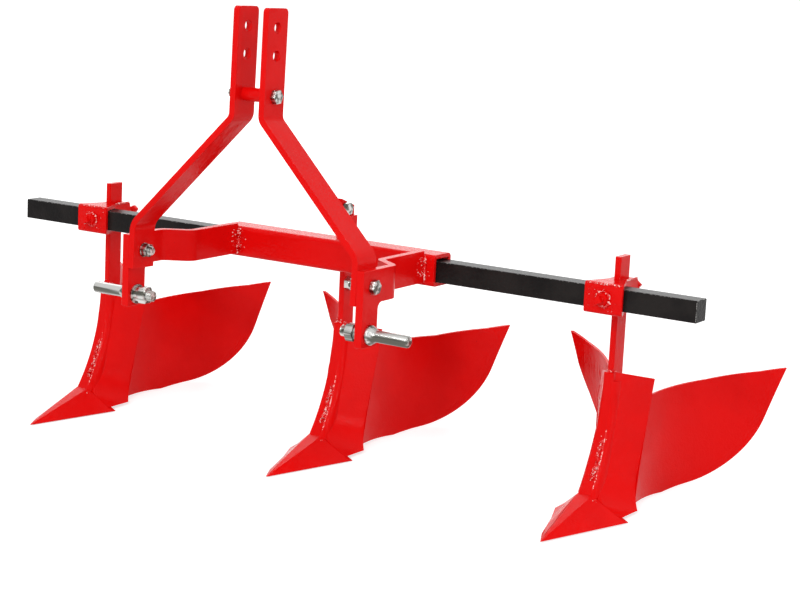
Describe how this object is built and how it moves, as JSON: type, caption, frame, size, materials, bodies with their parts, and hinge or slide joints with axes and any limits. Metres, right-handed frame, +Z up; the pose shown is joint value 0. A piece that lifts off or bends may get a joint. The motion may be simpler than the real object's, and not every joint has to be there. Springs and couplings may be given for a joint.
{
  "type": "ridger",
  "caption": "Tractor-mounted ridger: winged ridging bodies clamped along a square toolbar, with a bent-bar mast and lower hitch pins for a three-point linkage.",
  "frame": {"origin": "on the ground, midway along the toolbar and under the middle of the machine's length", "axes": "+X to the machine's left, -Y the direction of travel, +Z up"},
  "size_m": [1.6358, 0.6092, 0.8883],
  "materials": {
    "red_paint": "glossy red enamel, sprayed over welds and spatter, thin at the edges",
    "black_bar": "satin black paint over hot-rolled bar, worn grey along its edges",
    "zinc_fastener": "bright zinc plating with a faint green and yellow tint"
  },
  "bodies": {
    "frame": {"toolbar": "black_bar", "centre_tube": "red_paint", "hitch_arm_left": "red_paint", "hitch_pin_left": "zinc_fastener", "hitch_pin_nut_left": "zinc_fastener", "mast_bar_left": "red_paint", "strut_bolt_left": "zinc_fastener", "strut_nut_left": "zinc_fastener", "hitch_arm_right": "red_paint", "hitch_pin_right": "zinc_fastener", "hitch_pin_nut_right": "zinc_fastener", "mast_bar_right": "red_paint", "strut_bolt_right": "zinc_fastener", "strut_nut_right": "zinc_fastener", "mast_spacer": "red_paint", "mast_bolt": "zinc_fastener", "mast_nut": "zinc_fastener", "shank_centre": "red_paint", "hanger_plate": "red_paint", "hanger_bolt_upper": "zinc_fastener", "hanger_bolt_lower": "zinc_fastener", "share_centre": "red_paint", "nose_centre": "red_paint", "side_plate_centre_left": "red_paint", "wing_centre_left": "red_paint", "side_plate_centre_right": "red_paint", "wing_centre_right": "red_paint"},
    "row_left": {"clamp_left": "red_paint", "clamp_front_screw_left": "red_paint", "clamp_rear_screw_left": "red_paint"},
    "tool_left": {"shank_left": "red_paint", "nose_left": "red_paint", "share_left": "red_paint", "side_plate_left_left": "red_paint", "side_plate_left_right": "red_paint", "wing_left_left": "red_paint", "wing_left_right": "red_paint"},
    "row_right": {"clamp_right": "red_paint", "clamp_front_screw_right": "red_paint", "clamp_rear_screw_right": "red_paint"},
    "tool_right": {"shank_right": "red_paint", "nose_right": "red_paint", "share_right": "red_paint", "side_plate_right_left": "red_paint", "side_plate_right_right": "red_paint", "wing_right_left": "red_paint", "wing_right_right": "red_paint"}
  },
  "joints": [
    {"name": "row_left_spacing", "type": "slide", "parent": "frame", "child": "row_left", "axis": [1, 0, 0], "range_m": [-0.12, 0.135]},
    {"name": "tool_left_depth", "type": "slide", "parent": "row_left", "child": "tool_left", "axis": [0, 0.0958, 0.9954], "range_m": [-0.035, 0.095]},
    {"name": "row_right_spacing", "type": "slide", "parent": "frame", "child": "row_right", "axis": [-1, 0, 0], "range_m": [-0.12, 0.135]},
    {"name": "tool_right_depth", "type": "slide", "parent": "row_right", "child": "tool_right", "axis": [0, 0.0958, 0.9954], "range_m": [-0.035, 0.095]}
  ]
}
